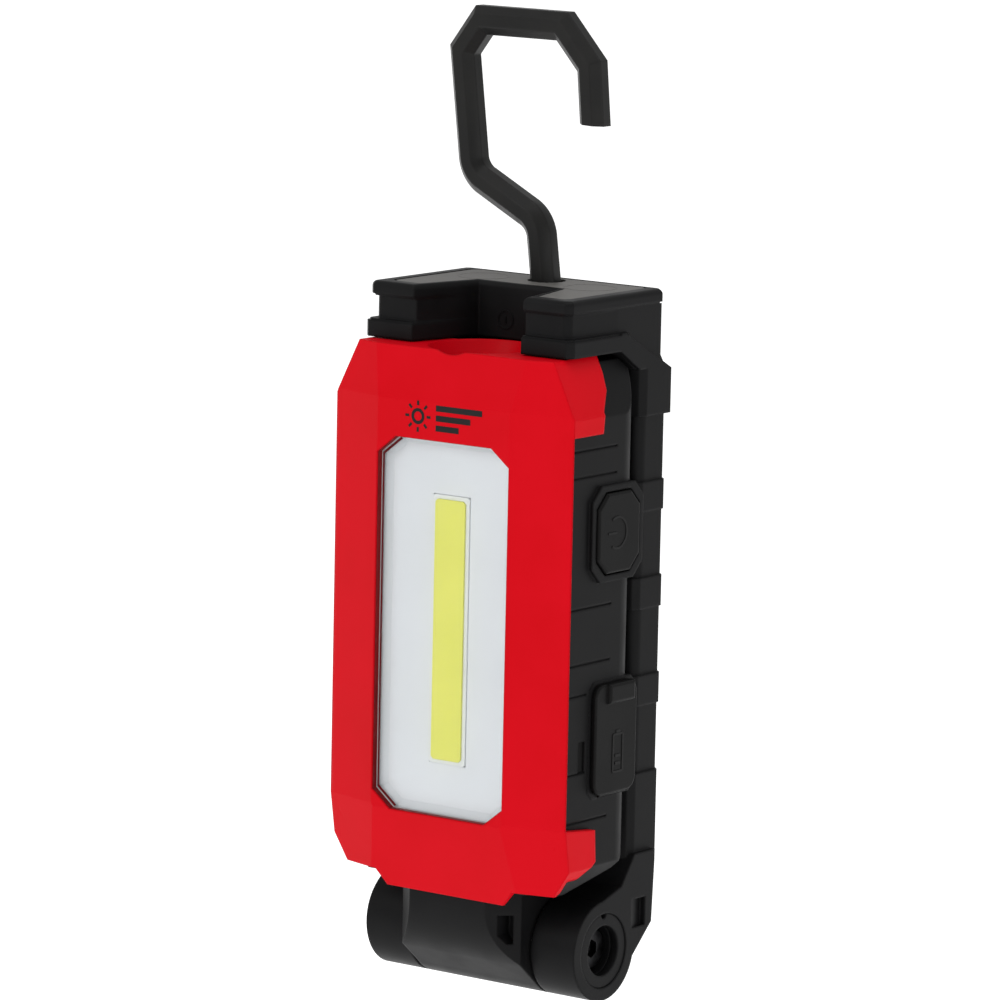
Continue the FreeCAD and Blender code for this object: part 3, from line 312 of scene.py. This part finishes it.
def ring(u, v, radius, line, start=0.0, end=360.0):
    """Quads along an arc of a ring about (u, v), in metres, with angles in degrees from u to v."""
    fewest_steps, step_deg = 6, 9
    steps = max(fewest_steps, round(abs(end - start) / step_deg))
    angles = [math.radians(start + (end - start) * i / steps) for i in range(steps + 1)]
    inner, outer = radius - line / 2, radius + line / 2
    rim = [[(u + r * math.cos(a), v + r * math.sin(a)) for a in angles] for r in (inner, outer)]
    return [(rim[0][i], rim[1][i], rim[1][i + 1], rim[0][i + 1]) for i in range(steps)]


def bar(u0, v0, u1, v1, line, pieces=4):
    """Quads along a straight line from (u0, v0) to (u1, v1); sizes in metres."""
    along = Vector((u1 - u0, v1 - v0))
    side = Vector((-along.y, along.x)).normalized() * line / 2
    points = [Vector((u0, v0)) + along * i / pieces for i in range(pieces + 1)]
    ends = zip(points, points[1:])
    return [(tuple(a - side), tuple(b - side), tuple(b + side), tuple(a + side)) for a, b in ends]


# for each side of the lamp: how a sign's (u, v) stands there, and which way the surface is looked for
SIDES = {
    "front": (lambda u, v: Vector((u, -0.1, v)), Vector((0, 1, 0))),
    "right": (lambda u, v: Vector((0.1, u, v)), Vector((-1, 0, 0))),
    "top": (lambda u, v: Vector((u, v, 0.1)), Vector((0, 0, -1))),
}


def make_sign(name, node, body, side, quads, finish, height_mm=0.12, start=None):
    """A low relief of quads that lies on a CAD node's surface, found from outside it.

    start is the y from which the surface is looked for, where something else stands in front of it.
    """
    mesh_of = NODES[node].data
    corners_of = [vertex.co for vertex in mesh_of.vertices]
    surface = BVHTree.FromPolygons(corners_of, [tuple(face.vertices) for face in mesh_of.polygons])
    place, inward = SIDES[side]
    shape = bmesh.new()
    for quad in quads:
        corners = []
        for u, v in quad:
            point = place(u, v)
            if start is not None:
                point.y = start
            hit = surface.ray_cast(point, inward)[0]
            corners.append(shape.verts.new(hit - inward * height_mm * MM))
        shape.faces.new(corners)
    bmesh.ops.remove_doubles(shape, verts=shape.verts, dist=0.01 * MM)
    bmesh.ops.recalc_face_normals(shape, faces=shape.faces)
    facing = sum((f.normal.dot(inward) for f in shape.faces), 0.0)
    if facing > 0:
        bmesh.ops.reverse_faces(shape, faces=shape.faces)
    sign = add_object(name, mesh_from(shape, name), finish)
    wall = sign.modifiers.new("wall", "SOLIDIFY")
    wall.thickness = (height_mm + 0.02) * MM
    wall.offset = -1.0
    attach(sign, body)
    return sign


def make_front_sign():
    """A plain printed sign of light over the window: a sun with three bars beside it."""
    ink = solid_finish(
        "sign_ink", (0.006, 0.006, 0.006), (0.010, 0.010, 0.010), (0.35, 0.45),
        specular=0.15, edge=0.02,
    )
    u, v = -6.6 * MM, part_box("window_lens")[1].z + 3.7 * MM
    sun_radius, sun_line = 1.35 * MM, 0.7 * MM
    quads = ring(u, v, sun_radius, sun_line)
    ray_start, ray_end, ray_line = 2.3 * MM, 3.3 * MM, 0.55 * MM
    for step in range(8):
        angle = math.radians(45 * step)
        across, up = math.cos(angle), math.sin(angle)
        from_u, from_v = u + ray_start * across, v + ray_start * up
        quads += bar(from_u, from_v, u + ray_end * across, v + ray_end * up, ray_line, 2)
    bars_start, bar_line = -1.9, 1.25 * MM
    for level, length in ((2.1, 12.0), (0.0, 9.0), (-2.1, 6.0)):
        bar_v = v + level * MM
        quads += bar(bars_start * MM, bar_v, (length + bars_start) * MM, bar_v, bar_line, 8)
    make_sign("front_sign", "front_bezel", "lamp_head", "front", quads, ink, 0.05)


def make_button_sign(dark):
    """The on-off sign on the button: an open ring with a bar in its gap."""
    line = 0.45 * MM
    button = middle("power_button")
    u, v = button.y - 0.9 * MM, button.z
    radius, half_arc = 3.3 * MM, 122
    bar_start, bar_end = u - 3.2 * MM, u - 0.2 * MM
    quads = ring(u, v, radius, line, -half_arc, half_arc) + bar(bar_start, v, bar_end, v, line)
    make_sign("button_sign", "power_button", "power_button", "right", quads, dark)


def make_cover_sign(dark):
    """A battery on the port cover: its outline, its cap and two bars of charge."""
    line, thick_line = 0.45 * MM, 0.6 * MM
    low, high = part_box("port_cover")
    u, v = (low.y + high.y) / 2 + 0.6 * MM, low.z + 9.0 * MM
    half_u, half_v = 1.7 * MM, 4.0 * MM
    left, right, bottom, top = u - half_u, u + half_u, v - half_v, v + half_v
    quads = bar(left, bottom, right, bottom, line) + bar(left, top, right, top, line)
    quads += bar(left, bottom, left, top, line) + bar(right, bottom, right, top, line)
    cap_half, cap_v = 0.7 * MM, top + 0.6 * MM
    quads += bar(u - cap_half, cap_v, u + cap_half, cap_v, thick_line)
    charge_half = 0.9 * MM
    for level in (-2.2, -0.6):
        charge_v = v + level * MM
        quads += bar(u - charge_half, charge_v, u + charge_half, charge_v, thick_line)
    make_sign("cover_sign", "port_cover", "port_cover", "right", quads, dark)


def make_notch_sign():
    """A small ring with a bar, moulded on the rear wall of the top block's notch."""
    u, v = -3.1 * MM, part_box("block_lid")[1].z - 7.8 * MM
    radius, half_bar, line = 1.9 * MM, 0.9 * MM, 0.4 * MM
    quads = ring(u, v, radius, line) + bar(u, v - half_bar, u, v + half_bar, line)
    finish, inside_notch = FINISHES["black_plastic"], -22.0 * MM
    make_sign(
        "notch_sign", "stand_frame", "stand", "front", quads, finish,
        start=inside_notch,
    )


def make_magnet_marks():
    """The faint round outline of each magnet on the lid."""
    low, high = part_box("block_magnets")
    radius, inside, line = (high.y - low.y) / 2, 0.6 * MM, 0.5 * MM
    finish = FINISHES["black_lid"]
    for name, share in (("magnet_mark_right", 1), ("magnet_mark_left", -1)):
        u, v = share * (high.x - radius), middle("block_magnets").y
        quads = ring(u, v, radius - inside, line)
        make_sign(name, "block_lid", "stand", "top", quads, finish, 0.03)


def make_small_signs():
    """The moulded signs of the button, the port cover and the notch, and the marks on the lid."""
    # painted shade: the signs are a little darker than the parts they stand on, for the shade in moulded
    # grooves
    dark = solid_finish(
        "sign_painted_groove_shade", (0.003, 0.003, 0.003), (0.005, 0.005, 0.005), (0.35, 0.45),
        specular=0.12, edge=0.05,
    )
    make_button_sign(dark)
    make_cover_sign(dark)
    make_notch_sign()
    make_magnet_marks()


# ---------------------------------------------------------------- edge of the window


def window_corners(inset):
    """The window opening's octagon in front view, drawn in by an inset."""
    low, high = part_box("window_lens")
    tuck = 1.1 * MM
    half, bottom, top = high.x - tuck - inset, low.z + tuck + inset, high.z - tuck - inset
    cut_u, cut_v = 4.7 * MM, 3.7 * MM
    return [
        (half - cut_u, bottom), (half, bottom + cut_v), (half, top - cut_v), (half - cut_u, top),
        (cut_u - half, top), (-half, top - cut_v), (-half, bottom + cut_v), (cut_u - half, bottom),
    ]


def strip(outset, inset, sides=range(8)):
    """Quads of a flat strip along the window's edge, between two insets in mm."""
    outer, inner = window_corners(outset * MM), window_corners(inset * MM)
    return [(outer[i], outer[(i + 1) % 8], inner[(i + 1) % 8], inner[i]) for i in sides]


def make_pane_edge():
    """A painted highlight along the pane's edge, and along its left side the painted shade of the red
    wall seen behind the pane.
    """
    # painted highlight: a pale, partly clear strip round the pane's edge
    edge = clear_finish("painted_pane_highlight", (0.95, 0.90, 0.90), 0.12, 0.55)
    quads = strip(0.02, 0.28)
    make_sign("painted_pane_highlight", "window_lens", "lamp_head", "front", quads, edge, 0.12)
    # painted shade: a dark red strip on the pane's left sides only, for the red wall behind the pane in
    # shade
    painted_shade_behind_pane = solid_finish(
        "painted_shade_behind_pane", (0.10, 0.008, 0.010), (0.13, 0.010, 0.013), (0.4, 0.5),
        patch=6.0, specular=0.1, edge=0.02,
    )
    left_sides = range(4, 7)
    quads = strip(0.30, 0.68, left_sides)
    make_sign("pane_left_painted_shade", "window_lens", "lamp_head", "front", quads, painted_shade_behind_pane, 0.06)


def make_painted_wall_shade():
    """A thin dark red liner ring along the wall of the opening, between the front's face and the pane:
    painted shade on that wall.
    """
    # painted shade: the liner's dark red stands in for the shade on the opening's wall
    finish = solid_finish(
        "painted_wall_shade", (0.12, 0.004, 0.005), (0.17, 0.007, 0.008), (0.35, 0.45),
        patch=12.0, specular=0.12, edge=0.02,
    )
    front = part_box("front_bezel")[0].y + 0.35 * MM
    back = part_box("window_lens")[0].y - 0.02 * MM
    outset, inset = 0.01, 0.10
    shape = bmesh.new()
    loops = []
    for y, edge in ((front, outset), (front, inset), (back, inset), (back, outset)):
        loops.append([shape.verts.new((u, y, v)) for u, v in window_corners(edge * MM)])
    for k in range(4):
        one, two = loops[k], loops[(k + 1) % 4]
        for i in range(8):
            n = (i + 1) % 8
            shape.faces.new((one[i], one[n], two[n], two[i]))
    bmesh.ops.recalc_face_normals(shape, faces=shape.faces)
    liner = add_object("painted_wall_shade", mesh_from(shape, "painted_wall_shade"), finish)
    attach(liner, "lamp_head")


# ---------------------------------------------------------------- floor, lamps, camera


def make_floor():
    """A wide pale floor under the hanging light."""
    half, drop = 12.0, 0.16
    low = CAD_BOX[0].z - drop
    corners = [(-half, -half, low), (half, -half, low), (half, half, low), (-half, half, low)]
    mesh = bpy.data.meshes.new("floor")
    mesh.from_pydata(corners, [], [(0, 1, 2, 3)])
    finish = solid_finish(
        "floor", (0.93, 0.93, 0.93), (0.95, 0.95, 0.95), (0.8, 0.9),
        patch=300.0, texture=(3.0, 0.02), specular=0.1, glow=0.5,
    )
    floor = add_object("floor", mesh, finish)


def make_lamp(name, place, size, power):
    """A square softbox at place, turned to the middle of the light."""
    target = Vector((0, 0, -0.1))
    light = bpy.data.lights.new(name, "AREA")
    light.shape = "SQUARE"
    light.size = size
    light.energy = power
    lamp = bpy.data.objects.new(name, light)
    lamp.location = place
    lamp.rotation_mode = "QUATERNION"
    lamp.rotation_quaternion = (target - Vector(place)).to_track_quat("-Z", "Y")
    bpy.context.scene.collection.objects.link(lamp)


def make_camera():
    """The camera looks from the light's front right, from a little above."""
    azimuth, elevation, roll = (math.radians(a) for a in (36.654, 9.0, -1.193))
    aim, distance = Vector((-13.3325, 3.0074, -99.9574)) * MM, 1321.84 * MM
    back = Vector((
        math.sin(azimuth) * math.cos(elevation),
        -math.cos(azimuth) * math.cos(elevation),
        math.sin(elevation),
    ))
    level = Vector((math.cos(azimuth), math.sin(azimuth), 0))
    upright = back.cross(level)
    right = level * math.cos(roll) - upright * math.sin(roll)
    up = level * math.sin(roll) + upright * math.cos(roll)
    data = bpy.data.cameras.new("camera")
    data.sensor_width, data.lens = 36.0, 221.624
    data.clip_start, data.clip_end = 0.05, 60.0
    camera = bpy.data.objects.new("camera", data)
    turn = Matrix((right, up, back)).transposed().to_4x4()
    camera.matrix_world = Matrix.Translation(aim + back * distance) @ turn
    bpy.context.scene.collection.objects.link(camera)
    bpy.context.scene.camera = camera


def make_studio():
    """Even pale surroundings and three softboxes."""
    world = bpy.data.worlds.new("studio")
    world.use_nodes = True
    background = world.node_tree.nodes["Background"]
    background.inputs["Color"].default_value = (1, 1, 1, 1)
    background.inputs["Strength"].default_value = 0.7
    bpy.context.scene.world = world
    make_lamp("key", (-0.5, -1.5, 0.9), size=0.9, power=8.0)
    make_lamp("top", (0.2, -0.1, 1.3), size=0.9, power=6.0)
    make_lamp("side", (1.7, -0.5, 0.2), size=0.8, power=4.0)
    bpy.context.scene.view_settings.view_transform = "Standard"


for name, width_mm in (("hook", 0.5), ("pivot_cap_right", 0.25), ("pivot_cap_left", 0.25)):
    soften(name, width_mm)

make_front_sign()
make_small_signs()
make_pane_edge()
make_painted_wall_shade()
make_floor()
make_studio()
make_camera()
